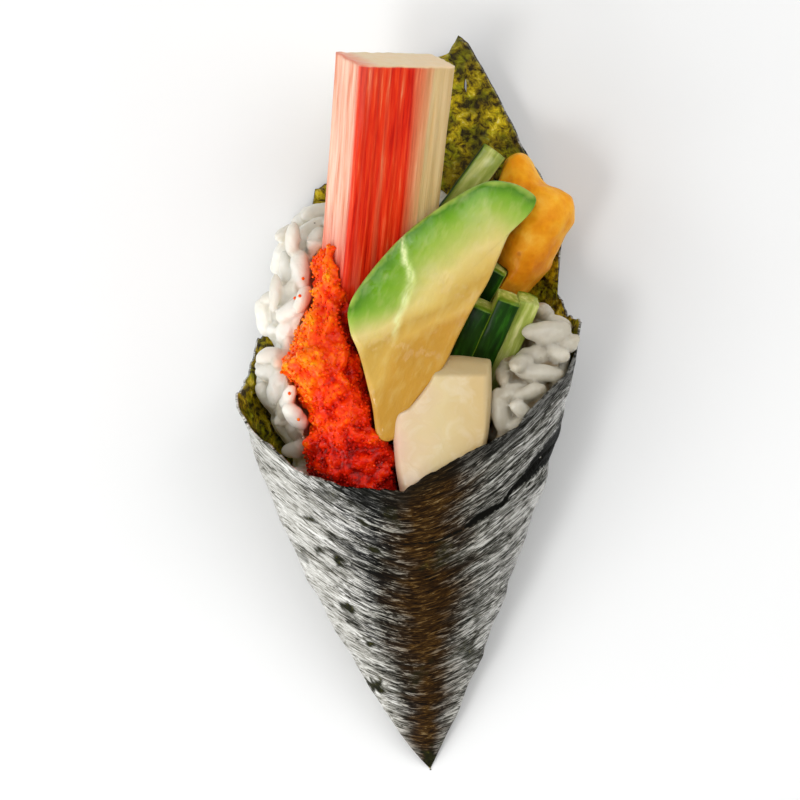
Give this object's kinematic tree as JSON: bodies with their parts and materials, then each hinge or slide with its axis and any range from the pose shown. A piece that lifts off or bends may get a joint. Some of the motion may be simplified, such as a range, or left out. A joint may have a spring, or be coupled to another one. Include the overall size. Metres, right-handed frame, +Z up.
{
  "type": "temaki hand roll",
  "caption": "Hand-rolled sushi cone of nori filled with rice and topped with crab stick, avocado, cucumber, omelette, cream cheese and fish roe, lying on its back.",
  "frame": {"origin": "middle of the underside of the whole roll, on the surface it lies on", "axes": "+Z up, towards the filling; +Y from the pointed tip to the open end and the flap's corner; +X to the right seen from above with the tip down"},
  "size_m": [0.0698, 0.1482, 0.0402],
  "materials": {
    "nori": "roasted seaweed sheet, near black and glossy outside, olive green with flecks inside",
    "rice": "cooked short-grain rice, moist and slightly translucent",
    "roe": "small wet translucent eggs, orange to red",
    "crab": "fibrous fish stick, red stripes on a cream body",
    "avocado": "moist flesh, green at the rim and yellow inside",
    "omelette": "soft cooked egg, lumpy and moist",
    "cream": "smooth pale cream cheese",
    "cucumber": "dark green skin and pale wet flesh"
  },
  "bodies": {
    "root": {"nori_wrap": "nori", "rice": "rice", "roe": "roe", "crab_stick": "crab", "avocado_slice": "avocado", "omelette_piece": "omelette", "cream_cheese": "cream", "cucumber_stick_1": "cucumber", "cucumber_stick_2": "cucumber", "cucumber_stick_3": "cucumber", "cucumber_stick_4": "cucumber", "cucumber_stick_5": "cucumber"}
  },
  "joints": []
}
